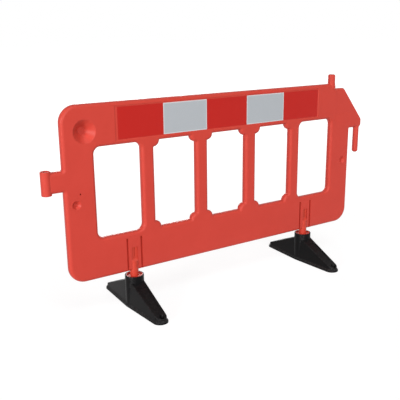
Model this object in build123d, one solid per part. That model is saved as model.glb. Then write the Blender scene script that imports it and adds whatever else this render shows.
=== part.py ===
from build123d import *
import os
from math import asin, cos, sin

# Plastic safety barrier: a hollow moulded panel on two legs, each leg in a swivelling anti-trip foot.
# Millimetres. X runs along the panel, the front faces -Y and Z is up.
# The origin is on the ground, midway between the two feet.

# Windows and the frame around them
WINDOW_COUNT = 5
WINDOW_WIDTH = 240.0
WINDOW_HEIGHT = 433.0
WINDOW_CORNER = 32.0
NOTCH_ROUND = 4.0
STILE_WIDTH = 153.0
MULLION_WIDTH = 69.0
CORNER_RADIUS = 80.0
EDGE_RADIUS = 16.0
CORNER_MARGIN = 1.0
INNER_CORNER = 6.0
PANEL_SKIN = 3.2

# Reflective films in shallow recesses, alternately red and white
FILM_COUNT = 5
FILM_LENGTH = 250.0
FILM_HEIGHT = 150.0
FILM_THICK = 0.6
FILM_JOINT = 0.5
FILM_MARGIN = 24.0
FILM_TRIM = 8.0
RECESS_DEPTH = 2.4
RECESS_BORDER = 3.5
RECESS_FLARE = 2.4

# Shoulders at the roots of the link peg and the lamp spigot
POST_SHOULDER = 1.5
POST_SHOULDER_HEIGHT = 2.0

# Link arm and peg on the right edge
PEG_DIAMETER = 35.0
PEG_LENGTH = 153.0
PEG_REACH = 72.5
PEG_ROUND = 14.0
ARM_END = 9.0
ARM_LIFT = 13.5
ARM_DROP = 29.0
ARM_FLAT = 68.0
ARM_TIP_HEIGHT = 48.0
ARM_TIP_ROUND = 18.0
ARM_SETBACK = 3.0
ARM_RAMP_RISE = 33.0
ARM_RAMP = 60.0
RAIL_END_INSET = 123.0

# Link eye on the left edge
LINK_CLEARANCE = 3.0
EYE_WALL = 4.5
EYE_HEIGHT = 110.0
EYE_RISE = 494.5
EYE_REACH = 75.5
EYE_ROUND = 3.0
LUG_STEP = 6.5

# Lamp spigot on the top rail
SPIGOT_DIAMETER = 42.0
SPIGOT_HEIGHT = 52.0
SPIGOT_INSET = 24.0
SPIGOT_ROUND = 9.0

# Moulded recesses: the corner cone, the dimples in the stiles and the vent
CONE_RIM = 109.0
CONE_FLOOR = 36.0
CONE_BACK = 4.5
CONE_ROUND = 5.0
CONE_SIDE = 110.0
CONE_DROP = 121.5
DIMPLE_RIM = 43.0
DIMPLE_FLOOR = 18.0
DIMPLE_DEPTH = 14.0
DIMPLE_SIDE = 53.0
DIMPLE_RISE = 379.0
VENT_RIM = 8.0
VENT_FLOOR = 6.0
VENT_DEPTH = 20.0
VENT_SIDE = 74.0
VENT_RISE = 427.0

# Legs and their sockets
LEG_DIAMETER = 43.0
LEG_INSET = 335.0
LEG_BACKSET = 15.0
LEG_SHOW = 23.0
LEG_FLAT_RISE = 60.0
LEG_FLAT_SETBACK = 4.5
LEG_SLIT_WIDTH = 2.4
LEG_SLIT_DEPTH = 4.0
LEG_SLIT_LENGTH = 52.0
SOCKET_CLEARANCE = 0.2
SOCKET_DEPTH = 122.0
SOCKET_WALL = 5.0
SOCKET_BACK = 3.3
SOCKET_ROUND = 2.0
SEAT_GAP = 0.2
GROOVE_SPREAD = 76.0
GROOVE_WIDTH = 12.0
GROOVE_FLOOR = 6.0
GROOVE_DEPTH = 12.0
GROOVE_ROUND = 2.0
GROOVE_RISE = 50.0
GROOVE_LAND = 27.0
FLANGE_DIAMETER = 84.0
FLANGE_THICK = 10.0
FLANGE_ROUND = 2.0
FLANGE_RIM = 5.0
FLANGE_DISH = 5.0

# Feet
FOOT_LENGTH = 570.0
FOOT_TIP = 76.0
FOOT_RIM = 7.0
FOOT_RIM_ROUND = 2.0
SKIRT_RUN = 8.0
SKIRT_RISE = 12.0
FOOT_LIP = 6.0
FOOT_LEAN = 8.0
FOOT_WALL = 11.0
WING_DROP = 30.0
WING_TIP_RISE = 13.0
WING_PEAK_SPAN = 60.0
WING_ROUND = 4.0
CHANNEL_EDGE = 9.0
CHANNEL_DEPTH = 3.0
CHANNEL_NEAR = 75.0
CHANNEL_FAR = 222.0
CHANNEL_ROUND = 5.0
COLLAR_HEIGHT = 160.0
COLLAR_LIP = 4.5
COLLAR_MARGIN = 5.0
COLLAR_ROUND = 1.5
SWIVEL_CLEARANCE = 0.08
SWIVEL_GAP = 0.25
FLANGE_CLEARANCE = 0.5
POCKET_WALL = 13.0
POCKET_MARGIN = 25.0
POCKET_RIB = 10.0
STAKE_HOLE = 22.0
STAKE_HOLE_DEPTH = 16.0
STAKE_HOLE_INSET = 24.0
SPOT_FACE_MARGIN = 2.0

# Fasteners
WASHER_HOLD = 9.0
WASHER_THICK = 3.0
WASHER_HEIGHT = 24.0
WASHER_CLEARANCE = 3.0
SCREW_DIAMETER = 10.0
SCREW_GRIP = 48.0
SCREW_HEAD_FLATS = 17.0
SCREW_HEAD_THICK = 6.4
LEG_SCREW_DIAMETER = 6.0
LEG_SCREW_GRIP = 16.0
LEG_SCREW_HEAD = 16.0
LEG_SCREW_HEAD_THICK = 4.5
LEG_SCREW_HEAD_ROUND = 2.5
LEG_SCREW_RISE = 62.0
SCREW_CLEARANCE = 0.1
PILOT_RUNOUT = 2.0

# How far a cut runs past the face that it opens
OVERRUN = 1.0

# Sizes that follow from those above
EYE_BORE = PEG_DIAMETER + LINK_CLEARANCE
EYE_DIAMETER = EYE_BORE + 2 * EYE_WALL
SOCKET_RADIUS = LEG_DIAMETER / 2 + SOCKET_CLEARANCE
COLLAR_DIAMETER = FLANGE_DIAMETER + 2 * (FLANGE_CLEARANCE + COLLAR_LIP)
FOOT_WAIST = COLLAR_DIAMETER + 2 * COLLAR_MARGIN
WASHER_DIAMETER = LEG_DIAMETER + 2 * WASHER_HOLD
WING_PEAK = COLLAR_HEIGHT - WING_DROP
WING_TIP_HEIGHT = FOOT_RIM + WING_TIP_RISE
WINDOW_PITCH = WINDOW_WIDTH + MULLION_WIDTH
TOP_RAIL = FILM_HEIGHT + 2 * FILM_MARGIN
GROOVE_HEIGHT = SOCKET_DEPTH + GROOVE_RISE
BOTTOM_RAIL = GROOVE_HEIGHT + GROOVE_LAND
PANEL_LENGTH = 2 * STILE_WIDTH + WINDOW_WIDTH + (WINDOW_COUNT - 1) * WINDOW_PITCH
PANEL_THICK = LEG_BACKSET + SOCKET_RADIUS + SOCKET_BACK
CONE_DEPTH = PANEL_THICK - CONE_BACK

# Places that follow
FRONT = -LEG_BACKSET
REAR = FRONT + PANEL_THICK
MIDDLE = (FRONT + REAR) / 2
LEFT = -PANEL_LENGTH / 2
RIGHT = PANEL_LENGTH / 2
BOTTOM = COLLAR_HEIGHT + LEG_SHOW
WINDOW_CENTRE = BOTTOM + BOTTOM_RAIL + WINDOW_HEIGHT / 2
WINDOW_TOP = WINDOW_CENTRE + WINDOW_HEIGHT / 2
TOP = WINDOW_TOP + TOP_RAIL
FILM_CENTRE = WINDOW_TOP + TOP_RAIL / 2
EYE_X = LEFT - EYE_REACH
EYE_LOW = BOTTOM + EYE_RISE - EYE_HEIGHT / 2
EYE_HIGH = EYE_LOW + EYE_HEIGHT
PEG_X = RIGHT + PEG_REACH
ARM_TIP_X = PEG_X + PEG_DIAMETER / 2 + ARM_END
ARM_UNDER = EYE_HIGH + ARM_LIFT
ARM_TOP = TOP - ARM_DROP
RAIL_END = RIGHT - RAIL_END_INSET
SPIGOT_X = RAIL_END - SPIGOT_INSET
SOCKET_TOP = BOTTOM + SOCKET_DEPTH
LEG_BOTTOM = WASHER_HEIGHT + WASHER_THICK
LEG_TOP = SOCKET_TOP - SEAT_GAP
LEG_SCREW_Z = BOTTOM + LEG_SCREW_RISE
LEG_SCREW_LENGTH = SOCKET_BACK + LEG_SCREW_GRIP
FLANGE_UNDER = COLLAR_HEIGHT - FLANGE_THICK
LEG_X = {"left": LEFT + LEG_INSET, "right": RIGHT - LEG_INSET}
MID_PLANE = Plane.XZ.offset(-MIDDLE)
STANDING = (Align.CENTER, Align.CENTER, Align.MIN)


def upright(radius, low, high, x=0.0, y=0.0):
    """Upright cylinder between two heights."""
    return Pos(x, y, low) * Cylinder(radius, high - low, align=STANDING)


def inner_round(radius, inset):
    """Radius of a rounded edge once its faces have moved in by an inset."""
    return max(radius - inset, 0)


def panel_outline():
    """Outside of the panel with its lug and link arm, seen from the front."""
    lug_low = EYE_LOW + LUG_STEP
    lug_high = EYE_HIGH - LUG_STEP
    convex = EDGE_RADIUS + CORNER_MARGIN
    corners = [
        ((LEFT, BOTTOM), CORNER_RADIUS),
        ((RIGHT, BOTTOM), CORNER_RADIUS),
        ((RIGHT, ARM_UNDER), INNER_CORNER),
        ((ARM_TIP_X, ARM_UNDER), convex),
        ((ARM_TIP_X, ARM_UNDER + ARM_TIP_HEIGHT), ARM_TIP_ROUND),
        ((RAIL_END + ARM_FLAT, ARM_TOP), convex),
        ((RAIL_END, ARM_TOP), INNER_CORNER),
        ((RAIL_END, TOP), convex),
        ((LEFT, TOP), CORNER_RADIUS),
        ((LEFT, lug_high), INNER_CORNER),
        ((EYE_X, lug_high), 0),
        ((EYE_X, lug_low), 0),
        ((LEFT, lug_low), INNER_CORNER),
    ]
    points = [point for point, _ in corners]
    radii = [radius for _, radius in corners]
    return make_face(FilletPolyline(*points, radius=radii, close=True).edges())


def window_outline(notched):
    """One window, with rounded corners or with corners notched by quarter discs."""
    if not notched:
        return RectangleRounded(WINDOW_WIDTH, WINDOW_HEIGHT, WINDOW_CORNER)
    discs = GridLocations(WINDOW_WIDTH, WINDOW_HEIGHT, 2, 2) * Circle(WINDOW_CORNER)
    outline = Rectangle(WINDOW_WIDTH, WINDOW_HEIGHT) - discs
    return fillet(outline.vertices(), NOTCH_ROUND)


def panel_slab(inset):
    """The flat form of the panel with its windows and rounded edges, shrunk by an inset."""
    outline = offset(panel_outline(), -inset)
    for index in range(WINDOW_COUNT):
        window = window_outline(notched=0 < index < WINDOW_COUNT - 1)
        x = (index - (WINDOW_COUNT - 1) / 2) * WINDOW_PITCH
        outline -= Pos(x, WINDOW_CENTRE) * offset(window, inset)
    slab = extrude(MID_PLANE * outline, PANEL_THICK / 2 - inset, both=True)
    rims = slab.faces().filter_by(Axis.Y).edges()
    return fillet(rims, inner_round(EDGE_RADIUS, inset))


def arm_setback(inset):
    """What is taken off both faces beyond the rail's end, fading out down the right stile."""
    depth = ARM_SETBACK + inset
    low = ARM_UNDER + ARM_RAMP_RISE
    high = TOP + OVERRUN
    points = [(0, low), (depth, low + ARM_RAMP), (depth, high), (-OVERRUN, high), (-OVERRUN, low)]
    side = Plane(origin=(RAIL_END - inset, FRONT, 0), x_dir=(0, 1, 0), z_dir=(1, 0, 0))
    profile = make_face(Polyline(*points, close=True).edges())
    front = extrude(side * profile, ARM_TIP_X + OVERRUN - RAIL_END)
    return front + mirror(front, about=MID_PLANE)


def front_cone(rim, floor, depth, x, z, inset):
    """Cone sunk into the front face or, with an inset, the plug that keeps a wall around it."""
    slope = (rim - floor) / 2 / depth
    mouth = rim / 2 + inset + slope * inset
    plug = Cone(mouth, floor / 2 + inset, depth + 2 * inset, align=STANDING)
    return Pos(x, FRONT - inset, z) * Rot(X=-90) * plug


def film_recesses(inset):
    """Shallow flared recesses for the films on both faces or, with an inset, the plugs that wall them."""
    length = FILM_COUNT * FILM_LENGTH + 2 * (RECESS_BORDER + inset)
    height = FILM_HEIGHT + 2 * (RECESS_BORDER + inset)
    face = Plane(origin=(0, FRONT, FILM_CENTRE), x_dir=(1, 0, 0), z_dir=(0, -1, 0))
    floor = face.offset(-RECESS_DEPTH - inset) * Rectangle(length, height)
    mouth = face * Rectangle(length + 2 * RECESS_FLARE, height + 2 * RECESS_FLARE)
    front = loft([floor, mouth], ruled=True)
    return [front, mirror(front, about=MID_PLANE)]


def groove_profile():
    """Flared groove beside a leg, seen from above, with its mouth on the X axis."""
    mouth = GROOVE_WIDTH / 2
    floor = GROOVE_FLOOR / 2
    points = [(-mouth, 0), (mouth, 0), (floor, GROOVE_DEPTH), (-floor, GROOVE_DEPTH)]
    profile = make_face(Polyline(*points, close=True).edges())
    return fillet(profile.vertices().group_by(Axis.Y)[-1], GROOVE_ROUND)


def sunk_features(inset):
    """Recesses moulded into the walls: for the films, the cone, the dimples, the vent and the grooves."""
    features = film_recesses(inset)
    features.append(front_cone(CONE_RIM, CONE_FLOOR, CONE_DEPTH, LEFT + CONE_SIDE, TOP - CONE_DROP, inset))
    features.append(front_cone(VENT_RIM, VENT_FLOOR, VENT_DEPTH, LEFT + VENT_SIDE, BOTTOM + VENT_RISE, inset))
    for x in (LEFT + DIMPLE_SIDE, RIGHT - DIMPLE_SIDE):
        features.append(front_cone(DIMPLE_RIM, DIMPLE_FLOOR, DIMPLE_DEPTH, x, BOTTOM + DIMPLE_RISE, inset))
    groove = extrude(offset(groove_profile(), inset), GROOVE_HEIGHT + inset)
    for leg_x in LEG_X.values():
        for side in (-1, 1):
            features.append(Pos(leg_x + side * GROOVE_SPREAD / 2, FRONT, BOTTOM) * groove)
    return features


def leg_socket(x, wall):
    """Round socket for a leg, open through the bottom edge and the front face."""
    socket = upright(SOCKET_RADIUS + wall, BOTTOM - OVERRUN, SOCKET_TOP + wall, x)
    return fillet(socket.edges().sort_by(Axis.Z)[-1], SOCKET_ROUND)


def panel_posts(inset):
    """The lamp spigot and the link peg, rooted in the panel, or the hollows inside them."""
    spigot = upright(SPIGOT_DIAMETER / 2 - inset, ARM_TOP, TOP + SPIGOT_HEIGHT - inset, SPIGOT_X, MIDDLE)
    peg = upright(PEG_DIAMETER / 2 - inset, ARM_UNDER - PEG_LENGTH + inset, ARM_UNDER + EDGE_RADIUS,
                  PEG_X, MIDDLE)
    spigot = fillet(spigot.edges().sort_by(Axis.Z)[-1], inner_round(SPIGOT_ROUND, inset))
    peg = fillet(peg.edges().sort_by(Axis.Z)[0], inner_round(PEG_ROUND, inset))
    return spigot + peg


def post_shoulders():
    """Rings at the roots of the spigot and the peg, for a lamp or the next barrier's eye to rest on."""
    spigot_ring = SPIGOT_DIAMETER / 2 + POST_SHOULDER
    peg_ring = PEG_DIAMETER / 2 + POST_SHOULDER
    spigot = upright(spigot_ring, ARM_TOP, TOP + POST_SHOULDER_HEIGHT, SPIGOT_X, MIDDLE)
    peg = upright(peg_ring, ARM_UNDER - POST_SHOULDER_HEIGHT, ARM_UNDER + EDGE_RADIUS, PEG_X, MIDDLE)
    return spigot + peg


def rear_hole(length):
    """Hole for a leg's screw, on the axis of X = 0, forward from the rear face."""
    hole = Cylinder(LEG_SCREW_DIAMETER / 2 + SCREW_CLEARANCE, length, align=STANDING)
    return Pos(0, REAR, LEG_SCREW_Z) * Rot(X=90) * hole


def make_panel():
    """Hollow panel: the outer form, less the space inside its walls."""
    barrel = upright(EYE_DIAMETER / 2, EYE_LOW, EYE_HIGH, EYE_X, MIDDLE)
    outer = panel_slab(0) - arm_setback(0) + panel_posts(0) + post_shoulders()
    outer += fillet(barrel.edges().filter_by(GeomType.CIRCLE), EYE_ROUND)
    hollow = panel_slab(PANEL_SKIN) - arm_setback(PANEL_SKIN) + panel_posts(PANEL_SKIN) - barrel
    for feature in sunk_features(0):
        outer -= feature
    for feature in sunk_features(PANEL_SKIN):
        hollow -= feature
    cone_rim = (LEFT + CONE_SIDE + CONE_RIM / 2, FRONT, TOP - CONE_DROP)
    outer = fillet(outer.edges().sort_by_distance(cone_rim)[0], CONE_ROUND)
    for x in LEG_X.values():
        outer -= leg_socket(x, 0)
        outer -= Pos(x, 0, 0) * rear_hole(PANEL_THICK / 2)
        hollow -= leg_socket(x, SOCKET_WALL)
    eye_bore = upright(EYE_BORE / 2, EYE_LOW - OVERRUN, EYE_HIGH + OVERRUN, EYE_X, MIDDLE)
    return outer - hollow - eye_bore


def leg_flat():
    """What is cut off the front of a leg's upper end: a flat behind the panel's face, a ramp and a slit."""
    back = FRONT + LEG_FLAT_SETBACK
    front = -LEG_DIAMETER / 2 - OVERRUN
    low = BOTTOM + LEG_FLAT_RISE
    high = LEG_TOP + OVERRUN
    profile = Polyline((back, low), (back, high), (front, high), (front, low - (back - front)), close=True)
    flat = extrude(Plane.YZ * make_face(profile.edges()), LEG_DIAMETER, both=True)
    slit = Box(LEG_SLIT_WIDTH, 2 * LEG_SLIT_DEPTH, LEG_SLIT_LENGTH, align=STANDING)
    return flat + Pos(0, back, LEG_TOP - LEG_SLIT_LENGTH) * slit


def make_leg():
    """Leg on the axis of X = 0: the rod in its socket, the flange, and the spindle that the foot turns on."""
    flange = upright(FLANGE_DIAMETER / 2, FLANGE_UNDER, COLLAR_HEIGHT)
    flange -= upright(FLANGE_DIAMETER / 2 - FLANGE_RIM, COLLAR_HEIGHT - FLANGE_DISH, COLLAR_HEIGHT)
    flange = fillet(flange.edges().group_by(Axis.Z)[-1], FLANGE_ROUND)
    rod = upright(LEG_DIAMETER / 2, LEG_BOTTOM, LEG_TOP)
    rod = fillet(rod.edges().sort_by(Axis.Z)[-1], SOCKET_ROUND + SOCKET_CLEARANCE)
    leg = rod - leg_flat() + flange
    leg -= upright(SCREW_DIAMETER / 2 + SCREW_CLEARANCE, LEG_BOTTOM, LEG_BOTTOM + SCREW_GRIP + PILOT_RUNOUT)
    return leg - rear_hole(LEG_SCREW_LENGTH + PILOT_RUNOUT)


def foot_outline(inset, height):
    """Plan of a foot at a height: a round waist drawn out to two round tips, shrunk by an inset."""
    waist = FOOT_WAIST / 2 - inset
    tip = FOOT_TIP / 2 - inset
    run = (FOOT_LENGTH - FOOT_TIP) / 2
    turn = asin((waist - tip) / run)
    near = (waist * cos(turn), waist * sin(turn))
    far = (tip * cos(turn), run + tip * sin(turn))
    edges = []
    for side in (1, -1):
        near_rear = (side * near[0], near[1])
        near_front = (side * near[0], -near[1])
        edges.append(Line(near_rear, (side * far[0], far[1])))
        edges.append(Line(near_front, (side * far[0], -far[1])))
        edges.append(ThreePointArc(near_rear, (side * waist, 0), near_front))
        tip_end = (0, side * (run + tip))
        edges.append(ThreePointArc((far[0], side * far[1]), tip_end, (-far[0], side * far[1])))
    return Pos(0, 0, height) * make_face(edges)


def foot_wings(inset):
    """The two sloping wings of a foot, leaning in as they rise, or the space inside their walls."""
    low = foot_outline(FOOT_LIP + inset, 0)
    high = foot_outline(FOOT_LIP + FOOT_LEAN + inset, WING_PEAK)
    reach = FOOT_LENGTH / 2
    roof = [(WING_PEAK_SPAN / 2, WING_PEAK - inset), (reach, WING_TIP_HEIGHT - inset), (reach, 0)]
    outline = roof + [(-y, z) for y, z in reversed(roof)]
    prism = extrude(Plane.YZ * make_face(Polyline(*outline, close=True).edges()), FOOT_WAIST, both=True)
    return loft([low, high], ruled=True) & prism


def channel_floor(y):
    """Height of the floor of a wing's channel at a distance from the leg."""
    run = FOOT_LENGTH / 2 - WING_PEAK_SPAN / 2
    slope = (WING_PEAK - WING_TIP_HEIGHT) / run
    return WING_PEAK - slope * (y - WING_PEAK_SPAN / 2) - CHANNEL_DEPTH


def wing_channel():
    """What is cut out of the rear wing's roof for the shallow channel between its raised edges."""
    plan = extrude(foot_outline(FOOT_LIP + FOOT_LEAN + CHANNEL_EDGE, 0), WING_PEAK)
    points = [(CHANNEL_NEAR, channel_floor(CHANNEL_NEAR)), (CHANNEL_FAR, channel_floor(CHANNEL_FAR)),
              (CHANNEL_FAR, WING_PEAK), (CHANNEL_NEAR, WING_PEAK)]
    prism = extrude(Plane.YZ * make_face(Polyline(*points, close=True).edges()), FOOT_WAIST, both=True)
    channel = plan & prism
    return fillet(channel.edges().filter_by(Axis.Z), CHANNEL_ROUND)


def foot_base():
    """The foot's low rim, with a skirt that slopes up to the wings and the collar."""
    skirt = loft([foot_outline(0, FOOT_RIM), foot_outline(SKIRT_RUN, FOOT_RIM + SKIRT_RISE)], ruled=True)
    base = extrude(foot_outline(0, 0), FOOT_RIM) + skirt
    rim = base.edges().filter_by_position(Axis.Z, FOOT_RIM, FOOT_RIM)
    return fillet(rim, FOOT_RIM_ROUND)


def make_foot():
    """Anti-trip foot on the axis of X = 0, hollow underneath between its ribs."""
    wings = foot_wings(0)
    slopes = wings.faces().filter_by(lambda face: face.normal_at().Z > abs(face.normal_at().X))
    wings = fillet(slopes.edges(), WING_ROUND)
    collar = upright(COLLAR_DIAMETER / 2, 0, COLLAR_HEIGHT)
    foot = foot_base() + wings + fillet(collar.edges().sort_by(Axis.Z)[-1], COLLAR_ROUND)
    channel = wing_channel()
    foot -= channel
    foot -= Rot(Z=180) * channel
    hollow = foot_wings(FOOT_WALL)
    stake_y = FOOT_LENGTH / 2 - STAKE_HOLE_INSET
    spot_face = STAKE_HOLE / 2 + SPOT_FACE_MARGIN
    pocket_near = COLLAR_DIAMETER / 2 + POCKET_WALL
    pocket_far = stake_y - spot_face - POCKET_MARGIN
    pocket = (pocket_far - pocket_near - POCKET_RIB) / 2
    for end in (-1, 1):
        for near in (pocket_near, pocket_far - pocket):
            bay = Box(FOOT_WAIST, pocket, 2 * WING_PEAK)
            foot -= hollow & Pos(0, end * (near + pocket / 2), 0) * bay
        foot -= upright(STAKE_HOLE / 2, -OVERRUN, WING_PEAK, 0, end * stake_y)
        foot -= upright(spot_face, STAKE_HOLE_DEPTH, WING_PEAK, 0, end * stake_y)
    foot -= upright(LEG_DIAMETER / 2 + SWIVEL_CLEARANCE, 0, COLLAR_HEIGHT)
    foot -= upright(FLANGE_DIAMETER / 2 + FLANGE_CLEARANCE, FLANGE_UNDER - SWIVEL_GAP, COLLAR_HEIGHT)
    return foot - upright(WASHER_DIAMETER / 2 + WASHER_CLEARANCE, -OVERRUN, LEG_BOTTOM + SWIVEL_GAP)


def make_washer():
    """Washer under the leg's end, which carries the foot when the barrier is lifted."""
    hole = upright(SCREW_DIAMETER / 2 + SCREW_CLEARANCE, WASHER_HEIGHT, LEG_BOTTOM)
    return upright(WASHER_DIAMETER / 2, WASHER_HEIGHT, LEG_BOTTOM) - hole


def make_foot_screw():
    """Hexagon-headed screw through the washer, up into the leg's end."""
    hexagon = RegularPolygon(SCREW_HEAD_FLATS / 2, 6, major_radius=False)
    head = extrude(Pos(0, 0, WASHER_HEIGHT - SCREW_HEAD_THICK) * hexagon, SCREW_HEAD_THICK)
    return head + upright(SCREW_DIAMETER / 2, WASHER_HEIGHT, LEG_BOTTOM + SCREW_GRIP)


def make_leg_screw():
    """Round-headed screw through the rear wall into the leg."""
    head = Cylinder(LEG_SCREW_HEAD / 2, LEG_SCREW_HEAD_THICK, align=(Align.CENTER, Align.CENTER, Align.MAX))
    head = fillet(head.edges().sort_by(Axis.Z)[0], LEG_SCREW_HEAD_ROUND)
    shank = Cylinder(LEG_SCREW_DIAMETER / 2, LEG_SCREW_LENGTH, align=STANDING)
    return Pos(0, REAR, LEG_SCREW_Z) * Rot(X=90) * (head + shank)


def make_film(index, y):
    """One section of reflective film, lying on the floor of its recess."""
    trim = FILM_TRIM if index == 0 else 0
    x = (index - (FILM_COUNT - 1) / 2) * FILM_LENGTH + trim / 2
    return Pos(x, y, FILM_CENTRE) * Box(FILM_LENGTH - FILM_JOINT - trim, FILM_THICK, FILM_HEIGHT)


def make_nodes():
    """Every piece of the barrier by its name."""
    nodes = {"panel": make_panel()}
    paired = {"leg": make_leg(), "leg_screw": make_leg_screw(), "foot": make_foot(),
              "foot_washer": make_washer(), "foot_screw": make_foot_screw()}
    for side, x in LEG_X.items():
        for name, piece in paired.items():
            nodes[f"{name}_{side}"] = Pos(x, 0, 0) * piece
    film_depth = RECESS_DEPTH - FILM_THICK / 2
    for index in range(FILM_COUNT):
        colour = ("red", "white")[index % 2]
        nodes[f"film_front_{index + 1}_{colour}"] = make_film(index, FRONT + film_depth)
        nodes[f"film_rear_{index + 1}_{colour}"] = make_film(index, REAR - film_depth)
    return nodes


os.makedirs("parts", exist_ok=True)
for node, shape in make_nodes().items():
    export_step(shape, f"parts/{node}.step")
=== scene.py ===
import logging
import math
from dataclasses import dataclass, replace
from enum import Enum
from typing import Callable

import bmesh
import bpy
from mathutils import Matrix, Vector


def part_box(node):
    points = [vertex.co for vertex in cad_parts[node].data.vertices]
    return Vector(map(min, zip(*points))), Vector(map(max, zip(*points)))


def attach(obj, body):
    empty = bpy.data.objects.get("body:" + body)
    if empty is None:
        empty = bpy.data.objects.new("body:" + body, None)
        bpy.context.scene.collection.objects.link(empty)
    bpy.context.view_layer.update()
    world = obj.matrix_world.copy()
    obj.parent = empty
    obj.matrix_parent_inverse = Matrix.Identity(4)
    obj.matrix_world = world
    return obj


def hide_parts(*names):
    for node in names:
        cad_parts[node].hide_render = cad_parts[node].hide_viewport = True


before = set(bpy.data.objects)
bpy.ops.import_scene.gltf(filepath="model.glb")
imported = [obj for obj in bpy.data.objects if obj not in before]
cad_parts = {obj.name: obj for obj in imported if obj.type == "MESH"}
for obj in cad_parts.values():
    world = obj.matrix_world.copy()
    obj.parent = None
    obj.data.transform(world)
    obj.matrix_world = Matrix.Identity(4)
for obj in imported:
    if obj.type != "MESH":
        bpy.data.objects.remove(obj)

# Looks of a plastic safety barrier: one moulded panel, two legs in swivelling rubber feet, and reflective films.
# Metres, in the frame of the solids: X along the panel, the front faces -Y, Z up.

log = logging.getLogger("barrier")

BODY = "barrier"

ROUND_SIDES = 48
FACING = 0.9  # the cosine from which a face or an edge counts as lying along an axis
NEAR = 1e-6  # the gap up to which two heights count as one
CLOUD_SCALE = 5.5
DUST_SCALE = 26.0
PAINTED_GLINT_SCALE = 240.0
WHITE = (1.0, 1.0, 1.0, 1.0)

Colour = tuple[float, float, float, float]


class Side(Enum):
    """The two legs and feet."""

    LEFT = "left"
    RIGHT = "right"


class Face(Enum):
    """The two faces of the panel, by the way that they look along Y."""

    FRONT = -1
    REAR = 1

    @property
    def turn(self) -> float:
        """The turn about Z that brings a front piece to this face."""
        return 0.0 if self is Face.FRONT else math.pi


class FilmColour(Enum):
    """Colours of the reflective film."""

    RED = "red"
    WHITE = "white"

    @property
    def slot(self) -> str:
        """The material slot of this film."""
        return f"{self.value}_film"


class Field(Enum):
    """Fields of the film's faces, in the order of their material slots."""

    CELLS = 0
    BORDER = 1


class Combining(Enum):
    """Ways to combine two solid pieces."""

    CUT = "DIFFERENCE"
    JOIN = "UNION"
    SHARE = "INTERSECT"


# Modelling by operators


def clear_selection() -> None:
    """Leave nothing selected in object mode."""
    bpy.ops.object.select_all(action="DESELECT")


def select_only(piece: bpy.types.Object) -> None:
    """Make a piece the only selected object and the active one.

    Args:
        piece: The object to select.
    """
    clear_selection()
    piece.select_set(True)
    bpy.context.view_layer.objects.active = piece


def open_for_edit(piece: bpy.types.Object) -> None:
    """Select only one piece and enter its edit mode with nothing selected in it.

    Args:
        piece: The object to edit.
    """
    select_only(piece)
    bpy.ops.object.mode_set(mode="EDIT")
    bpy.ops.mesh.select_mode(type="FACE")
    bpy.ops.mesh.select_all(action="DESELECT")


def close_edit() -> None:
    """Go back to object mode."""
    bpy.ops.object.mode_set(mode="OBJECT")


def pick_faces(piece: bpy.types.Object, wanted: Callable[[bmesh.types.BMFace], bool]) -> None:
    """Select only the faces that pass a test, in edit mode.

    Args:
        piece: The object in edit mode.
        wanted: The test on a face.
    """
    bpy.ops.mesh.select_mode(type="FACE")
    shape = bmesh.from_edit_mesh(piece.data)
    for face in shape.faces:
        face.select_set(wanted(face))
    bmesh.update_edit_mesh(piece.data)


def pick_edges(piece: bpy.types.Object, wanted: Callable[[bmesh.types.BMEdge], bool]) -> None:
    """Select only the edges that pass a test, in edit mode.

    Args:
        piece: The object in edit mode.
        wanted: The test on an edge.
    """
    bpy.ops.mesh.select_all(action="DESELECT")
    bpy.ops.mesh.select_mode(type="EDGE")
    shape = bmesh.from_edit_mesh(piece.data)
    for edge in shape.edges:
        edge.select_set(wanted(edge))
    bmesh.update_edit_mesh(piece.data)


def edge_run(edge: bmesh.types.BMEdge) -> Vector:
    """The unit direction of an edge."""
    return (edge.verts[1].co - edge.verts[0].co).normalized()


def add_block(low: Vector, high: Vector, name: str) -> bpy.types.Object:
    """Add a block between two corners, with its size and place in its mesh.

    Args:
        low: The lowest corner.
        high: The highest corner.
        name: The name of the new object.

    Returns:
        The new object.
    """
    clear_selection()
    bpy.ops.mesh.primitive_cube_add(size=1.0, location=(low + high) / 2)
    block = bpy.context.active_object
    block.name = name
    block.scale = high - low
    bpy.ops.object.transform_apply(location=True, rotation=True, scale=True)
    return block


def add_round(radius: float, depth: float, sides: int, place: Vector, turn: tuple[float, float, float],
              name: str) -> bpy.types.Object:
    """Add an upright prism or cylinder, turned and placed in its mesh.

    Args:
        radius: The radius over the corners.
        depth: The height before the turn.
        sides: How many sides it has.
        place: The centre.
        turn: The turn about X, Y and Z in radians.
        name: The name of the new object.

    Returns:
        The new object.
    """
    clear_selection()
    bpy.ops.mesh.primitive_cylinder_add(vertices=sides, radius=radius, depth=depth, location=place, rotation=turn)
    piece = bpy.context.active_object
    piece.name = name
    bpy.ops.object.transform_apply(location=True, rotation=True, scale=True)
    return piece


def combine(piece: bpy.types.Object, tool: bpy.types.Object, way: Combining) -> None:
    """Combine a piece with a tool and delete the tool.

    Args:
        piece: The object that stays.
        tool: The object that is cut away, joined or intersected.
        way: How the two are combined.
    """
    modifier = piece.modifiers.new("combine", "BOOLEAN")
    modifier.operation = way.value
    modifier.solver = "EXACT"
    modifier.object = tool
    select_only(piece)
    bpy.ops.object.modifier_apply(modifier=modifier.name)
    bpy.data.objects.remove(tool)


def smooth(piece: bpy.types.Object, degrees: float) -> None:
    """Shade a piece smooth across edges that turn by less than an angle.

    Args:
        piece: The object to shade.
        degrees: The angle.
    """
    select_only(piece)
    bpy.ops.object.shade_smooth_by_angle(angle=math.radians(degrees))


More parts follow.
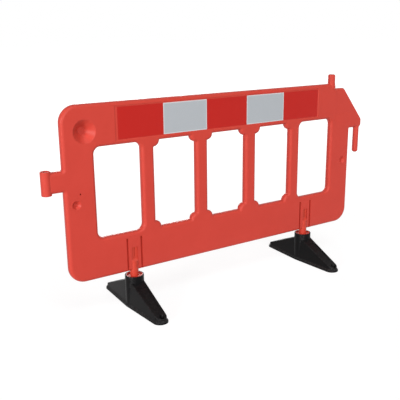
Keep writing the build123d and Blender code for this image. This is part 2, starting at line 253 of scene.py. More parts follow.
def copied(piece: bpy.types.Object, name: str, place: Matrix) -> bpy.types.Object:
    """Copy a piece with a mesh of its own.

    Args:
        piece: The object to copy.
        name: The name of the copy.
        place: Where the copy goes, put into its mesh.

    Returns:
        The copy.
    """
    twin = piece.copy()
    twin.data = piece.data.copy()
    twin.name = name
    twin.data.name = name
    twin.data.transform(place)
    bpy.context.scene.collection.objects.link(twin)
    return twin


# Finishes


class Graph:
    """A node tree with short ways to add and join nodes."""

    def __init__(self, tree: bpy.types.NodeTree) -> None:
        """Start on a tree with no nodes.

        Args:
            tree: The node tree to fill.
        """
        self.tree = tree
        self.tree.nodes.clear()

    def add(self, kind: str, **settings: object) -> bpy.types.Node:
        """Add a node.

        Args:
            kind: The node's type without its ShaderNode prefix.
            settings: Its properties.

        Returns:
            The new node.
        """
        node = self.tree.nodes.new(kind if kind.startswith("Node") else f"ShaderNode{kind}")
        for key, value in settings.items():
            setattr(node, key, value)
        return node

    def feed(self, socket: bpy.types.NodeSocket, source: object) -> None:
        """Join a socket to another, or set its value.

        Args:
            socket: The input.
            source: An output socket, or a plain value.
        """
        if isinstance(source, bpy.types.NodeSocket):
            self.tree.links.new(source, socket)
        else:
            socket.default_value = source

    def maths(self, operation: str, *values: object, clamp: bool = False) -> bpy.types.NodeSocket:
        """Add a sum on numbers.

        Args:
            operation: The name of the sum.
            values: Its inputs, as sockets or numbers.
            clamp: Whether the result stays between 0 and 1.

        Returns:
            The result.
        """
        node = self.add("Math", operation=operation, use_clamp=clamp)
        for socket, value in zip(node.inputs, values):
            self.feed(socket, value)
        return node.outputs[0]

    def blend(self, share: object, first: object, second: object) -> bpy.types.NodeSocket:
        """Mix two colours.

        Args:
            share: How much of the second colour there is.
            first: The first colour.
            second: The second colour.

        Returns:
            The mixed colour.
        """
        node = self.add("Mix", data_type="RGBA")
        self.feed(node.inputs["Factor"], share)
        self.feed(node.inputs[6], first)
        self.feed(node.inputs[7], second)
        return node.outputs[2]

    def span(self, value: object, low: float, high: float, to_low: float, to_high: float,
             ease: str = "LINEAR") -> bpy.types.NodeSocket:
        """Bring a number from one range to another, without leaving it.

        Args:
            value: The number.
            low: Where the range starts.
            high: Where it ends.
            to_low: Where the new range starts.
            to_high: Where it ends.
            ease: How the two are joined.

        Returns:
            The new number.
        """
        node = self.add("MapRange", interpolation_type=ease)
        for socket, item in zip(node.inputs, (value, low, high, to_low, to_high)):
            self.feed(socket, item)
        return node.outputs[0]

    def noise(self, place: object, scale: object, detail: float, rough: float) -> bpy.types.NodeSocket:
        """Add a cloud of noise.

        Args:
            place: The coordinates.
            scale: How fine it is.
            detail: How many finer layers it has.
            rough: How strong those are.

        Returns:
            The noise, about 0.5.
        """
        node = self.add("TexNoise")
        self.feed(node.inputs["Vector"], place)
        self.feed(node.inputs["Scale"], scale)
        self.feed(node.inputs["Detail"], detail)
        self.feed(node.inputs["Roughness"], rough)
        return node.outputs[0]

    def relief(self, shader: bpy.types.Node, height: object, strength: float, depth: float) -> None:
        """Bump a shader's surface.

        Args:
            shader: The shader node.
            height: The height of the surface, from 0 to about 1.
            strength: How much of the bump shows.
            depth: How far a height of 1 stands out in metres.
        """
        bump = self.add("Bump")
        self.feed(bump.inputs["Height"], height)
        self.feed(bump.inputs["Strength"], strength)
        self.feed(bump.inputs["Distance"], depth)
        self.feed(shader.inputs["Normal"], bump.outputs[0])

    def group(self, tree: bpy.types.NodeTree, **inputs: object) -> bpy.types.Node:
        """Place a node group.

        Args:
            tree: The group.
            inputs: What goes into its inputs, by name.

        Returns:
            The group's node.
        """
        node = self.add("Group")
        node.node_tree = tree
        for name, value in inputs.items():
            self.feed(node.inputs[name], value)
        return node


class Effect:
    """A shader node group that several finishes share."""

    def __init__(self, name: str, inputs: dict[str, str], outputs: dict[str, str]) -> None:
        """Make an empty group with its sockets.

        Args:
            name: The name of the group.
            inputs: The kinds of its inputs by name.
            outputs: The kinds of its outputs by name.
        """
        tree = bpy.data.node_groups.new(name, "ShaderNodeTree")
        for in_out, sockets in (("INPUT", inputs), ("OUTPUT", outputs)):
            for socket, kind in sockets.items():
                tree.interface.new_socket(socket, in_out=in_out, socket_type=f"NodeSocket{kind}")
        self.tree = tree
        self.graph = Graph(tree)
        self.given = self.graph.add("NodeGroupInput").outputs
        self.result = self.graph.add("NodeGroupOutput").inputs


def moulded_grain() -> bpy.types.NodeTree:
    """Build the grain of a moulded surface: fine pebbling, slow waves and cloudy colour.

    Returns:
        The group, with the height of the surface and a cloud of colour.
    """
    effect = Effect("moulded_grain", {"Vector": "Vector", "Pebble": "Float", "Wave": "Float", "Wave Share": "Float"},
                    {"Height": "Float", "Cloud": "Float"})
    graph, given = effect.graph, effect.given
    pebble = graph.noise(given["Vector"], given["Pebble"], 3.0, 0.55)
    wave = graph.noise(given["Vector"], given["Wave"], 1.0, 0.4)
    cloud = graph.noise(given["Vector"], CLOUD_SCALE, 5.0, 0.62)
    swell = graph.maths("MULTIPLY", wave, given["Wave Share"])
    graph.feed(effect.result["Height"], graph.maths("ADD", pebble, swell))
    graph.feed(effect.result["Cloud"], graph.span(cloud, 0.3, 0.7, 0.0, 1.0))
    return effect.tree


def rubbed_and_highlit_edges() -> bpy.types.NodeTree:
    """Build the wear and the painted highlight on rounded and sloping places, which look along none of the three
    axes.

    Returns:
        The group, with a mask of scuffed places that also paints the highlight of rounded edges.
    """
    effect = Effect("rubbed_and_highlit_edges", {"Vector": "Vector", "Normal": "Vector", "Scuff": "Float", "Amount": "Float"},
                    {"Mask": "Float"})
    graph, given = effect.graph, effect.given
    axes = graph.add("SeparateXYZ")
    graph.feed(axes.inputs[0], given["Normal"])
    tilt = [graph.maths("ABSOLUTE", axes.outputs[index]) for index in range(3)]
    facing = graph.maths("MAXIMUM", tilt[0], graph.maths("MAXIMUM", tilt[1], tilt[2]))
    # Rounded and sloping places count most: paler there partly as wear, partly as a painted highlight of the light
    # that edges catch.
    rounding = graph.span(facing, 0.78, 0.985, 1.0, 0.0, "SMOOTHSTEP")
    marks = graph.span(graph.noise(given["Vector"], given["Scuff"], 6.0, 0.7), 0.46, 0.66, 0.15, 1.0)
    worn_and_highlit = graph.maths("MULTIPLY", rounding, marks)
    graph.feed(effect.result["Mask"], graph.maths("MULTIPLY", worn_and_highlit, given["Amount"], clamp=True))
    return effect.tree


def ground_dust() -> bpy.types.NodeTree:
    """Build the thin dust that lies low on the barrier and on what faces up.

    Returns:
        The group, with a mask of dusty places.
    """
    effect = Effect("ground_dust", {"Vector": "Vector", "Normal": "Vector", "Top": "Float", "Amount": "Float"},
                    {"Mask": "Float"})
    graph, given = effect.graph, effect.given
    place = graph.add("SeparateXYZ")
    graph.feed(place.inputs[0], given["Vector"])
    facing = graph.add("SeparateXYZ")
    graph.feed(facing.inputs[0], given["Normal"])
    height = graph.maths("DIVIDE", place.outputs[2], given["Top"])
    low = graph.span(height, 0.0, 1.0, 1.0, 0.0, "SMOOTHSTEP")
    level = graph.span(facing.outputs[2], 0.2, 0.95, 0.25, 1.0, "SMOOTHSTEP")
    cloud = graph.span(graph.noise(given["Vector"], DUST_SCALE, 7.0, 0.65), 0.38, 0.7, 0.0, 1.0)
    lying = graph.maths("MULTIPLY", graph.maths("MULTIPLY", low, level), cloud)
    graph.feed(effect.result["Mask"], graph.maths("MULTIPLY", lying, given["Amount"], clamp=True))
    return effect.tree


def prism_cells() -> bpy.types.NodeTree:
    """Build the honeycomb of small prisms in a reflective film, from three sets of lines turned by sixty degrees.

    Returns:
        The group, with the height of the cells, their walls and a painted glint that makes cells paler at random in
        place of the prisms' glitter.
    """
    effect = Effect("prism_cells", {"Vector": "Vector", "Pitch": "Float"},
                    {"Height": "Float", "Walls": "Float", "Sparkle": "Float"})
    graph, given = effect.graph, effect.given
    waves = []
    for turn in (0, 60, 120):
        turned = graph.add("VectorRotate", rotation_type="Y_AXIS")
        graph.feed(turned.inputs["Vector"], given["Vector"])
        graph.feed(turned.inputs["Angle"], math.radians(turn))
        axes = graph.add("SeparateXYZ")
        graph.feed(axes.inputs[0], turned.outputs[0])
        phase = graph.maths("DIVIDE", axes.outputs[0], given["Pitch"])
        waves.append(graph.maths("COSINE", graph.maths("MULTIPLY", phase, 2 * math.pi)))
    total = graph.maths("ADD", graph.maths("ADD", waves[0], waves[1]), waves[2])
    cell = graph.span(total, -1.5, 3.0, 0.0, 1.0)
    # Painted glint: a fine cloud that makes cells paler at random, in place of the prisms' glitter.
    sparkle = graph.noise(given["Vector"], PAINTED_GLINT_SCALE, 1.0, 0.5)
    graph.feed(effect.result["Height"], cell)
    graph.feed(effect.result["Walls"], graph.span(cell, 0.02, 0.2, 1.0, 0.0, "SMOOTHSTEP"))
    graph.feed(effect.result["Sparkle"], graph.span(sparkle, 0.35, 0.65, 0.0, 1.0))
    return effect.tree


@dataclass(frozen=True)
class Effects:
    """The node groups that the finishes share."""

    grain: bpy.types.NodeTree
    # Wear on rounded edges, which also paints their highlight.
    edges: bpy.types.NodeTree
    dust: bpy.types.NodeTree
    cells: bpy.types.NodeTree

    @classmethod
    def build(cls) -> "Effects":
        """Build every group once."""
        return cls(moulded_grain(), rubbed_and_highlit_edges(), ground_dust(), prism_cells())


def new_material(name: str) -> tuple[bpy.types.Material, Graph, bpy.types.Node, bpy.types.Node]:
    """Start a material with a shader and object coordinates.

    Args:
        name: The name of the material.

    Returns:
        The material, its graph, its shader node and its coordinates node.
    """
    material = bpy.data.materials.new(name)
    material.use_nodes = True
    graph = Graph(material.node_tree)
    shader = graph.add("BsdfPrincipled")
    output = graph.add("OutputMaterial")
    graph.feed(output.inputs["Surface"], shader.outputs[0])
    return material, graph, shader, graph.add("TexCoord")


@dataclass(frozen=True)
class MouldedFinish:
    """A moulding coloured through, paler where it is scuffed and where rounded edges get a painted highlight, and
    dusty near the ground.
    """

    name: str
    colour: Colour
    deep_colour: Colour
    # Colour of rounded edges: partly wear, partly a painted highlight.
    rubbed_and_highlight_colour: Colour
    dust_colour: Colour
    roughness: float
    glossier: float
    duller: float
    rub_dulling: float
    dust_dulling: float
    pebble: float
    wave: float
    wave_share: float
    bump: float
    depth: float
    scuff: float
    rub_and_highlight: float
    dust_top: float
    dust: float
    sheen: float

    def material(self, effects: Effects) -> bpy.types.Material:
        """Build the material.

        Args:
            effects: The shared node groups.

        Returns:
            The material.
        """
        material, graph, shader, coords = new_material(self.name)
        place, normal = coords.outputs["Object"], coords.outputs["Normal"]
        grain = graph.group(effects.grain, Vector=place, Pebble=self.pebble, Wave=self.wave,
                            **{"Wave Share": self.wave_share})
        rub_and_highlight_mask = graph.group(effects.edges, Vector=place, Normal=normal, Scuff=self.scuff, Amount=self.rub_and_highlight)
        dusty = graph.group(effects.dust, Vector=place, Normal=normal, Top=self.dust_top, Amount=self.dust)
        colour = graph.blend(grain.outputs["Cloud"], self.deep_colour, self.colour)
        # Rounded edges turn paler: partly scuff wear, partly a painted highlight.
        colour = graph.blend(rub_and_highlight_mask.outputs["Mask"], colour, self.rubbed_and_highlight_colour)
        colour = graph.blend(dusty.outputs["Mask"], colour, self.dust_colour)
        graph.feed(shader.inputs["Base Color"], colour)
        dull = graph.span(grain.outputs["Cloud"], 0.0, 1.0, self.roughness - self.glossier,
                          self.roughness + self.duller)
        for mask, dulling in ((rub_and_highlight_mask, self.rub_dulling), (dusty, self.dust_dulling)):
            dull = graph.maths("ADD", dull, graph.maths("MULTIPLY", mask.outputs["Mask"], dulling))
        graph.feed(shader.inputs["Roughness"], dull)
        graph.relief(shader, grain.outputs["Height"], self.bump, self.depth)
        shader.inputs["Specular IOR Level"].default_value = self.sheen
        return material


@dataclass(frozen=True)
class ReflectiveFilm:
    """Reflective film: small prisms under a clear face, with a sealed border that has none."""

    name: str
    colour: Colour
    wall_colour: Colour
    border_colour: Colour
    pitch: float = 0.0042
    sparkle: float = 0.22
    wall_share: float = 0.55
    border_cloud: float = 0.4
    pebble: float = 300.0
    wave: float = 14.0
    wave_share: float = 2.4
    glossiest: float = 0.34
    dullest: float = 0.42
    bump: float = 0.35
    depth: float = 0.0002
    sheen: float = 0.14
    coat: float = 0.1
    coat_roughness: float = 0.16

    def material(self, effects: Effects, field: Field) -> bpy.types.Material:
        """Build the material of one field of the film.

        Args:
            effects: The shared node groups.
            field: The cells or the border.

        Returns:
            The material.
        """
        material, graph, shader, coords = new_material(f"{self.name}_{field.name.lower()}")
        place = coords.outputs["Object"]
        grain = graph.group(effects.grain, Vector=place, Pebble=self.pebble, Wave=self.wave,
                            **{"Wave Share": self.wave_share})
        cloud, height = grain.outputs["Cloud"], grain.outputs["Height"]
        if field is Field.CELLS:
            cells = graph.group(effects.cells, Vector=place, Pitch=self.pitch)
            sparkle, walls = cells.outputs["Sparkle"], cells.outputs["Walls"]
            # Painted glint: some cells are paler at random, standing in for light glittering off the prisms.
            lit = graph.blend(sparkle, self.colour, self.wall_colour)
            colour = graph.blend(graph.maths("MULTIPLY", sparkle, self.sparkle), self.colour, lit)
            colour = graph.blend(graph.maths("MULTIPLY", walls, self.wall_share), colour, self.wall_colour)
            height = graph.maths("ADD", cells.outputs["Height"], height)
        else:
            share = graph.maths("MULTIPLY", cloud, self.border_cloud)
            colour = graph.blend(share, self.border_colour, self.wall_colour)
        graph.feed(shader.inputs["Base Color"], colour)
        graph.feed(shader.inputs["Roughness"], graph.span(cloud, 0.0, 1.0, self.glossiest, self.dullest))
        graph.relief(shader, height, self.bump, self.depth)
        shader.inputs["Specular IOR Level"].default_value = self.sheen
        shader.inputs["Coat Weight"].default_value = self.coat
        shader.inputs["Coat Roughness"].default_value = self.coat_roughness
        return material


@dataclass(frozen=True)
class ZincSteel:
    """Bright zinc plating with a faint crystal bloom."""

    name: str = "zinc_steel_look"
    colour: Colour = (0.60, 0.61, 0.63, 1.0)
    bloom_colour: Colour = (0.44, 0.45, 0.46, 1.0)
    bloom: float = 420.0
    pebble: float = 1600.0
    wave: float = 180.0
    wave_share: float = 1.0
    glossiest: float = 0.26
    dullest: float = 0.42
    bump: float = 0.3
    depth: float = 0.00008

    def material(self, effects: Effects) -> bpy.types.Material:
        """Build the material.

        Args:
            effects: The shared node groups.

        Returns:
            The material.
        """
        material, graph, shader, coords = new_material(self.name)
        place = coords.outputs["Object"]
        grain = graph.group(effects.grain, Vector=place, Pebble=self.pebble, Wave=self.wave,
                            **{"Wave Share": self.wave_share})
        bloom = graph.noise(place, self.bloom, 4.0, 0.6)
        graph.feed(shader.inputs["Base Color"], graph.blend(bloom, self.colour, self.bloom_colour))
        graph.feed(shader.inputs["Roughness"], graph.span(bloom, 0.35, 0.65, self.glossiest, self.dullest))
        graph.relief(shader, grain.outputs["Height"], self.bump, self.depth)
        shader.inputs["Metallic"].default_value = 1.0
        return material


def dress(piece: bpy.types.Object, *materials: bpy.types.Material) -> None:
    """Give a piece its materials in the order of its slots.

    Args:
        piece: The object to dress.
        materials: The materials.
    """
    slots = piece.data.materials
    for index, material in enumerate(materials):
        if index < len(slots):
            slots[index] = material
        else:
            slots.append(material)


# Sub-assemblies


@dataclass
class Panel:
    """The moulded panel, kept as the solid that it is."""

    finish: MouldedFinish

    def build(self, effects: Effects) -> None:
        """Dress the panel.

        Args:
            effects: The shared node groups.
        """
        dress(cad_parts["panel"], self.finish.material(effects))
        log.info("panel: dressed")


@dataclass
class Films:
    """The sections of reflective film on both faces of the panel, modelled once for each size and copied."""

    finishes: dict[FilmColour, ReflectiveFilm]
    corner: float = 0.0022
    corner_steps: int = 4
    border: float = 0.0045
    seam: float = 0.0005
    seam_depth: float = 0.00012
    rim: float = 0.00018
    crease: float = 10.0

    def section(self, size: Vector) -> bpy.types.Object:
        """Model a section about the origin that shows its face to the front.

        Its corners are rounded, its rim is softened, and a fine seam sets off the sealed border.

        Args:
            size: The length, the thickness and the height.

        Returns:
            The section.
        """
        half = size / 2
        piece = add_block(Vector((-half.x, self.rim - half.y, -half.z)), half, "film_section")
        open_for_edit(piece)
        pick_edges(piece, lambda edge: abs(edge_run(edge).y) > FACING)
        bpy.ops.mesh.bevel(offset=self.corner, segments=self.corner_steps, affect="EDGES")
        pick_faces(piece, self.shown)
        bpy.ops.mesh.inset(thickness=self.rim, depth=self.rim)
        reach = half - Vector((self.border, 0.0, self.border))
        for line in (Vector((reach.x, 0.0, 0.0)), Vector((0.0, 0.0, reach.z))):
            for place in (line, -line):
                pick_faces(piece, self.shown)
                bpy.ops.mesh.bisect(plane_co=place, plane_no=line.normalized())
        pick_faces(piece, lambda face: self.shown(face) and self.within(face.calc_center_median(), reach))
        bpy.ops.mesh.inset(thickness=self.seam, depth=-self.seam_depth)
        bpy.ops.mesh.inset(thickness=self.seam, depth=self.seam_depth)
        close_edit()
        for face in piece.data.polygons:
            cells = face.normal.y < -0.5 and self.within(face.center, reach)
            face.material_index = (Field.CELLS if cells else Field.BORDER).value
        smooth(piece, self.crease)
        return piece

    def shown(self, face: bmesh.types.BMFace) -> bool:
        """Tell whether a face looks to the front."""
        return face.normal.y < -FACING

    def within(self, place: Vector, reach: Vector) -> bool:
        """Tell whether a place lies inside the sealed border."""
        return abs(place.x) < reach.x - self.seam / 4 and abs(place.z) < reach.z - self.seam / 4

    def build(self, effects: Effects) -> None:
        """Model the sections, copy them to their places and dress them.

        Args:
            effects: The shared node groups.
        """
        looks = {colour: [finish.material(effects, field) for field in Field]
                 for colour, finish in self.finishes.items()}
        patterns: dict[tuple[float, ...], bpy.types.Object] = {}
        for node in sorted(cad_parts):
            if not node.startswith("film_"):
                continue
            face, colour = Face[node.split("_")[1].upper()], FilmColour(node.rsplit("_", 1)[1])
            low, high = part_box(node)
            key = tuple(round(length, 5) for length in high - low)
            if key not in patterns:
                patterns[key] = self.section(high - low)
            place = Matrix.Translation((low + high) / 2) @ Matrix.Rotation(face.turn, 4, "Z")
            piece = copied(patterns[key], f"{node}_look", place)
            dress(piece, *looks[colour])
            carry(piece, node)
        for pattern in patterns.values():
            bpy.data.objects.remove(pattern)


@dataclass
class Legs:
    """The two legs and the screws that hold them, whose heads show behind the panel."""

    finish: MouldedFinish
    head_height: float = 0.0045
    head_round: float = 0.0026
    shank_radius: float = 0.003
    drive_length: float = 0.0082
    drive_width: float = 0.0016
    drive_depth: float = 0.0026
    drive_taper: float = 0.62
    crease: float = 32.0

    def screw(self, node: str) -> bpy.types.Object:
        """Model a screw: a domed head with a cross drive, and a plain shank.

        Args:
            node: The solid that it stands for.

        Returns:
            The screw.
        """
        low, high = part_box(node)
        radius, seat = (high.x - low.x) / 2, high.y - self.head_height
        axis = (low + high) / 2
        head = Vector((axis.x, (seat + high.y) / 2, axis.z))
        piece = add_round(radius, self.head_height, ROUND_SIDES, head, (math.radians(90.0), 0.0, 0.0),
                          "leg_screw_pattern")
        open_for_edit(piece)
        pick_edges(piece, lambda edge: all(vertex.co.y > high.y - NEAR for vertex in edge.verts))
        bpy.ops.mesh.bevel(offset=self.head_round, segments=7, profile=0.6, affect="EDGES")
        pick_faces(piece, lambda face: face.normal.y < -FACING)
        bpy.ops.mesh.inset(thickness=radius - self.shank_radius, depth=0.0)
        bpy.ops.mesh.extrude_region_move(TRANSFORM_OT_translate={"value": (0.0, low.y - seat, 0.0)})
        close_edit()
        for turn in (0.0, 90.0):
            combine(piece, self.drive_blade(Vector((axis.x, high.y, axis.z)), turn), Combining.CUT)
        smooth(piece, self.crease)
        return piece

    def drive_blade(self, top: Vector, turn: float) -> bpy.types.Object:
        """Model one tapered blade of the cross drive.

        Args:
            top: The middle of the head's top.
            turn: The blade's turn about the screw in degrees.

        Returns:
            The blade.
        """
        half = Vector((self.drive_length, 2 * self.drive_depth, self.drive_width)) / 2
        blade = add_block(top - half, top + half, "drive_blade")
        open_for_edit(blade)
        pick_faces(blade, lambda face: face.normal.y < -FACING)
        bpy.ops.transform.resize(value=(self.drive_taper, 1.0, self.drive_taper))
        bpy.ops.mesh.select_all(action="SELECT")
        bpy.ops.transform.rotate(value=math.radians(turn), orient_axis="Y", center_override=top)
        close_edit()
        return blade

    def build(self, effects: Effects, steel: bpy.types.Material) -> None:
        """Dress the legs, and model and dress their screws.

        Args:
            effects: The shared node groups.
            steel: The screws' material.
        """
        plastic = self.finish.material(effects)
        for side in Side:
            dress(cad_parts[f"leg_{side.value}"], plastic)
        place_pair("leg_screw", self.screw, steel)
        log.info("legs: dressed")


@dataclass
class Feet:
    """The two rubber feet, with the washers and the screws that hold them to the legs."""

    finish: MouldedFinish
    end_radius: float = 0.0081
    end_slope: float = 30.0
    shank_radius: float = 0.005
    shank_chamfer: float = 0.0009
    head_sides: int = 6
    blank_sides: int = 64
    crease: float = 25.0

    def screw(self, node: str) -> bpy.types.Object:
        """Model a screw: a hexagon head with a turned chamfer, and a plain shank with a chamfered end.

        Args:
            node: The solid that it stands for.

        Returns:
            The screw.
        """
        low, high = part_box(node)
        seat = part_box(f"foot_washer_{Side.LEFT.value}")[0].z
        axis = (low + high) / 2
        middle = Vector((axis.x, axis.y, (low.z + seat) / 2))
        turn = math.pi / self.head_sides
        piece = add_round((high.x - low.x) / 2, seat - low.z, self.head_sides, middle, (0.0, 0.0, turn),
                          "foot_screw_pattern")
        combine(piece, self.turned_blank(Vector((axis.x, axis.y, low.z)), seat - low.z), Combining.SHARE)
        centre = Vector((axis.x, axis.y, (middle.z + high.z) / 2))
        shank = add_round(self.shank_radius, high.z - middle.z, ROUND_SIDES, centre, (0.0, 0.0, 0.0),
                          "foot_screw_shank")
        open_for_edit(shank)
        pick_edges(shank, lambda edge: all(vertex.co.z > high.z - NEAR for vertex in edge.verts))
        bpy.ops.mesh.bevel(offset=self.shank_chamfer, segments=1, affect="EDGES")
        close_edit()
        combine(piece, shank, Combining.JOIN)
        smooth(piece, self.crease)
        return piece

    def turned_blank(self, end: Vector, height: float) -> bpy.types.Object:
        """Model the round blank whose cone chamfers the corners of the head.

        Args:
            end: The middle of the head's free end.
            height: The height of the head.

        Returns:
            The blank, longer than the head both ways.
        """
        rise = 1.0 / math.tan(math.radians(self.end_slope))
        spare = height / 4
        wide, narrow = self.end_radius + 2 * spare * rise, self.end_radius - spare * rise
        middle = end + Vector((0.0, 0.0, (height + 3 * spare) / 2))
        blank = add_round(wide, height - spare, self.blank_sides, middle, (0.0, 0.0, 0.0), "turned_blank")
        open_for_edit(blank)
        pick_faces(blank, lambda face: face.normal.z < -FACING)
        bpy.ops.mesh.extrude_region_move(TRANSFORM_OT_translate={"value": (0.0, 0.0, -3 * spare)})
        bpy.ops.transform.resize(value=(narrow / wide, narrow / wide, 1.0), center_override=end)
        close_edit()
        return blank

    def build(self, effects: Effects, steel: bpy.types.Material) -> None:
        """Dress the feet and their washers, and model and dress their screws.

        Args:
            effects: The shared node groups.
            steel: The washers' and the screws' material.
        """
        rubber = self.finish.material(effects)
        for side in Side:
            dress(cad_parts[f"foot_{side.value}"], rubber)
            dress(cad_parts[f"foot_washer_{side.value}"], steel)
        place_pair("foot_screw", self.screw, steel)
        log.info("feet: dressed")


def carry(piece: bpy.types.Object, node: str) -> None:
    """Put a finished piece on the barrier in place of its solid.

    Args:
        piece: The finished piece.
        node: The solid that it stands for.
    """
    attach(piece, BODY)
    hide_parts(node)
    log.info("%s: modelled", piece.name)


def place_pair(stem: str, model: Callable[[str], bpy.types.Object], steel: bpy.types.Material) -> None:
    """Model a fastener on the left, and place it there and on the right.

    Args:
        stem: The nodes' name without the side.
        model: What models it on a node.
        steel: Its material.
    """
    pattern = model(f"{stem}_{Side.LEFT.value}")
    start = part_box(f"{stem}_{Side.LEFT.value}")[0]
    for side in Side:
        node = f"{stem}_{side.value}"
        piece = copied(pattern, f"{node}_look", Matrix.Translation(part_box(node)[0] - start))
        dress(piece, steel)
        carry(piece, node)
    bpy.data.objects.remove(pattern)


# Studio


@dataclass(frozen=True)
class SoftBox:
    """One large soft lamp."""

    name: str
    place: tuple[float, float, float]
    aim: tuple[float, float, float]
    size: tuple[float, float]
    power: float

    def build(self) -> None:
        """Add the lamp."""
        lamp = bpy.data.lights.new(self.name, "AREA")
        lamp.shape = "RECTANGLE"
        lamp.size, lamp.size_y = self.size
        lamp.energy = self.power
        holder = bpy.data.objects.new(self.name, lamp)
        holder.location = self.place
        holder.rotation_euler = (Vector(self.aim) - Vector(self.place)).to_track_quat("-Z", "Y").to_euler()
        bpy.context.scene.collection.objects.link(holder)


@dataclass(frozen=True)
class FarLamp:
    """A soft lamp so far off that it lights both ends of the barrier alike."""

    name: str
    towards: tuple[float, float, float]
    spread: float
    strength: float

    def build(self) -> None:
        """Add the lamp."""
        lamp = bpy.data.lights.new(self.name, "SUN")
        lamp.angle = math.radians(self.spread)
        lamp.energy = self.strength
        holder = bpy.data.objects.new(self.name, lamp)
        holder.rotation_euler = Vector(self.towards).to_track_quat("-Z", "Y").to_euler()
        bpy.context.scene.collection.objects.link(holder)


@dataclass
class Studio:
    """The pale floor, the soft lamps, the white surround and the camera."""

    lamps: tuple[SoftBox | FarLamp, ...]
    ambient: float = 0.1
    floor_reach: float = 30.0
    floor_colour: Colour = (0.72, 0.72, 0.72, 1.0)
    floor_white: float = 1.24
    floor_glow: float = 0.7
    glow_near: float = 1.6
    glow_far: float = 4.5
    camera_place: tuple[float, float, float] = (-1.9208, -2.6728, 1.3715)
    camera_turn: tuple[float, float, float] = (74.318, 0.203, -35.012)
    lens: float = 58.122
    sensor: float = 36.0
    shift: float = -0.0442

    def background_ray(self, graph: Graph) -> bpy.types.NodeSocket:
        """Add the test for rays that show the surround: from the camera, a reflection or a clear piece.

        Args:
            graph: The graph of the world or a material.

        Returns:
            1 for such a ray and 0 for any other.
        """
        path = graph.add("LightPath")
        seen = graph.maths("MAXIMUM", path.outputs["Is Camera Ray"], path.outputs["Is Glossy Ray"])
        return graph.maths("MAXIMUM", seen, path.outputs["Is Transmission Ray"])

    def surround(self) -> None:
        """Set the world: white where it is seen, plain soft light elsewhere."""
        world = bpy.data.worlds.new("surround")
        bpy.context.scene.world = world
        world.use_nodes = True
        graph = Graph(world.node_tree)
        back = graph.add("Background")
        output = graph.add("OutputWorld")
        graph.feed(back.inputs["Color"], WHITE)
        graph.feed(back.inputs["Strength"], graph.span(self.background_ray(graph), 0.0, 1.0, self.ambient, 1.0))
        graph.feed(output.inputs["Surface"], back.outputs[0])

    def floor(self) -> None:
        """Lay the pale floor, which glows a little where it is seen and keeps the shadow."""
        clear_selection()
        bpy.ops.mesh.primitive_plane_add(size=2 * self.floor_reach)
        plane = bpy.context.active_object
        plane.name = "floor"
        material = bpy.data.materials.new("floor_paper")
        material.use_nodes = True
        graph = Graph(material.node_tree)
        paper = graph.add("BsdfDiffuse")
        graph.feed(paper.inputs["Color"], self.floor_colour)
        glow = graph.add("Emission")
        graph.feed(glow.inputs["Color"], WHITE)
        graph.feed(glow.inputs["Strength"], self.floor_white)
        away = graph.add("VectorMath", operation="LENGTH")
        graph.feed(away.inputs[0], graph.add("TexCoord").outputs["Object"])
        glow_share = graph.span(away.outputs["Value"], self.glow_near, self.glow_far, self.floor_glow, 1.0,
                                "SMOOTHSTEP")
        share = graph.maths("MULTIPLY", self.background_ray(graph), glow_share)
        mixed = graph.add("MixShader")
        for socket, source in zip(mixed.inputs, (share, paper.outputs[0], glow.outputs[0])):
            graph.feed(socket, source)
        output = graph.add("OutputMaterial")
        graph.feed(output.inputs["Surface"], mixed.outputs[0])
        dress(plane, material)

    def camera(self) -> None:
        """Set the camera where the photograph was taken from."""
        eye = bpy.data.cameras.new("camera")
        eye.lens = self.lens
        eye.sensor_width = self.sensor
        eye.shift_x = self.shift
        holder = bpy.data.objects.new("camera", eye)
        holder.location = self.camera_place
        holder.rotation_euler = [math.radians(angle) for angle in self.camera_turn]
        bpy.context.scene.collection.objects.link(holder)
        bpy.context.scene.camera = holder

    def build(self) -> None:
        """Set up the whole studio."""
        bpy.context.scene.view_settings.view_transform = "Standard"
        self.surround()
        self.floor()
        self.camera()
        for lamp in self.lamps:
            lamp.build()
        log.info("studio: ready")
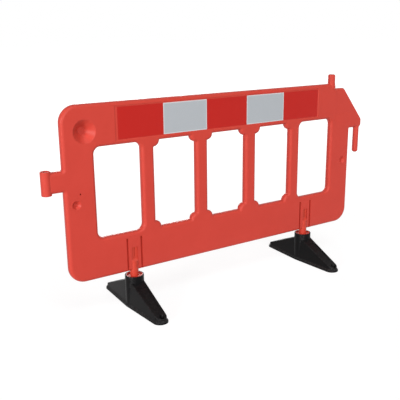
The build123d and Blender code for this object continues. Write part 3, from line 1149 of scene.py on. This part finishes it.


# The panel's paler edge colour is partly wear and partly a painted highlight on its rounded edges.
PANEL_PLASTIC = MouldedFinish(
    "panel_plastic_look", colour=(0.56, 0.051, 0.034, 1.0), deep_colour=(0.53, 0.046, 0.030, 1.0),
    rubbed_and_highlight_colour=(0.66, 0.09, 0.06, 1.0), dust_colour=(0.42, 0.34, 0.28, 1.0), roughness=0.42, glossier=0.03,
    duller=0.04, rub_dulling=0.18, dust_dulling=0.0, pebble=520.0, wave=9.0, wave_share=1.6, bump=0.55, depth=0.00035,
    scuff=70.0, rub_and_highlight=0.3, dust_top=0.3, dust=0.16, sheen=0.22)
# The legs' paler edge colour paints the highlight on the flange's rim, besides wear.
LEG_PLASTIC = replace(
    PANEL_PLASTIC, name="leg_plastic_look", colour=(0.56, 0.050, 0.028, 1.0), deep_colour=(0.53, 0.045, 0.025, 1.0),
    rubbed_and_highlight_colour=(0.66, 0.11, 0.08, 1.0), dust=0.03)
# The rubber's pale edge colour is a painted highlight: thin light lines along its rounded edges.
FOOT_RUBBER = MouldedFinish(
    "foot_rubber_look", colour=(0.0075, 0.0073, 0.0077, 1.0), deep_colour=(0.0055, 0.0053, 0.0057, 1.0),
    rubbed_and_highlight_colour=(0.085, 0.084, 0.085, 1.0), dust_colour=(0.16, 0.145, 0.125, 1.0), roughness=0.3, glossier=0.05,
    duller=0.06, rub_dulling=0.0, dust_dulling=0.5, pebble=900.0, wave=24.0, wave_share=1.2, bump=0.6, depth=0.00012,
    scuff=110.0, rub_and_highlight=0.45, dust_top=0.1, dust=0.05, sheen=0.045)
FILM_FINISHES = {
    FilmColour.RED: ReflectiveFilm("red_film_look", colour=(0.455, 0.011, 0.007, 1.0),
                                   wall_colour=(0.50, 0.018, 0.012, 1.0), border_colour=(0.44, 0.015, 0.010, 1.0)),
    FilmColour.WHITE: ReflectiveFilm("white_film_look", colour=(0.39, 0.415, 0.44, 1.0),
                                     wall_colour=(0.47, 0.49, 0.51, 1.0), border_colour=(0.60, 0.61, 0.62, 1.0)),
}
LAMPS = (
    SoftBox("key", (-9.6, -3.9, 2.7), (-0.3, 0.0, 0.6), (2.4, 2.4), 640.0),
    FarLamp("fill", (0.2, 0.95, -0.25), 24.0, 1.45),
    FarLamp("top", (0.0, 0.5, -0.866), 30.0, 0.9),
    SoftBox("back", (1.5, 4.5, 0.9), (0.0, 0.0, 0.55), (2.4, 1.4), 130.0),
)


def main() -> None:
    """Build the looks in order."""
    logging.basicConfig(level=logging.INFO, format="%(name)s: %(message)s")
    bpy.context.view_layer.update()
    Studio(LAMPS).build()
    effects = Effects.build()
    steel = ZincSteel().material(effects)
    Panel(PANEL_PLASTIC).build(effects)
    Films(FILM_FINISHES).build(effects)
    Legs(LEG_PLASTIC).build(effects, steel)
    Feet(FOOT_RUBBER).build(effects, steel)


if __name__ == "__main__":
    main()
